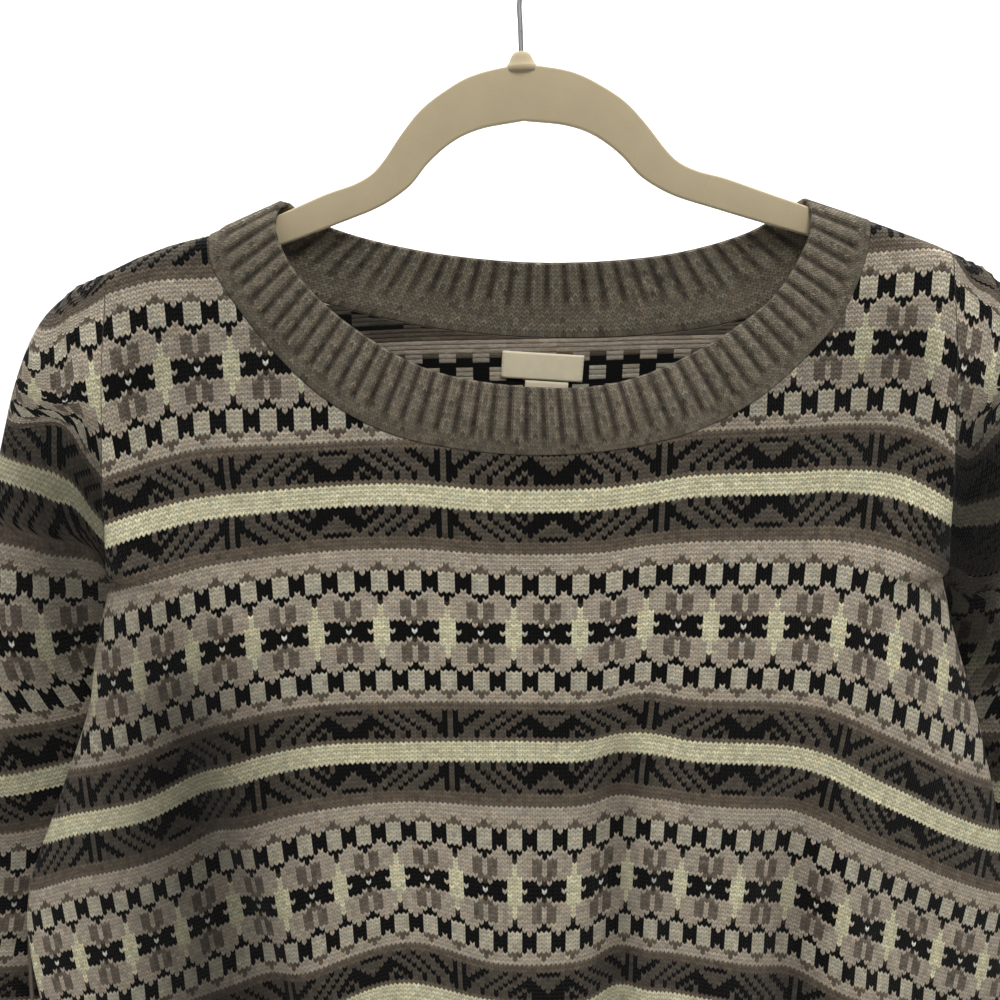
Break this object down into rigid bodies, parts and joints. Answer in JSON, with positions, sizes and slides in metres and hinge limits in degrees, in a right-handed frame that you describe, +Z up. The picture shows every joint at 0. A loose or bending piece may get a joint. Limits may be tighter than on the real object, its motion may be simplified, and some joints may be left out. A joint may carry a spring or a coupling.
{
  "type": "fair isle jumper on a hanger",
  "caption": "Round-neck fair isle jumper with long sleeves and ribbed trims, hanging flat on a slim flocked hanger.",
  "frame": {"origin": "where the inside of the hook's loop rests on its rail, at the top of the loop", "axes": "+Z up, the front of the jumper faces -Y, +X is the right-hand side seen from the front"},
  "size_m": [0.752, 0.0941, 0.8308],
  "materials": {
    "knit": "stranded wool-blend knit in taupe, light grey, cream and black",
    "rib": "ribbed wool-blend knit in marled taupe",
    "label": "woven satin tape, bare",
    "flock": "beige flocking over plastic",
    "steel": "bright plated wire"
  },
  "bodies": {
    "root": {"front": "knit", "back": "knit", "sleeve_left": "knit", "sleeve_right": "knit", "neckband": "rib", "hem_rib_front": "rib", "hem_rib_back": "rib", "cuff_left": "rib", "cuff_right": "rib", "label": "label", "size_tab": "label", "hanger": "flock", "hook_collar": "flock", "hook": "steel"}
  },
  "joints": []
}
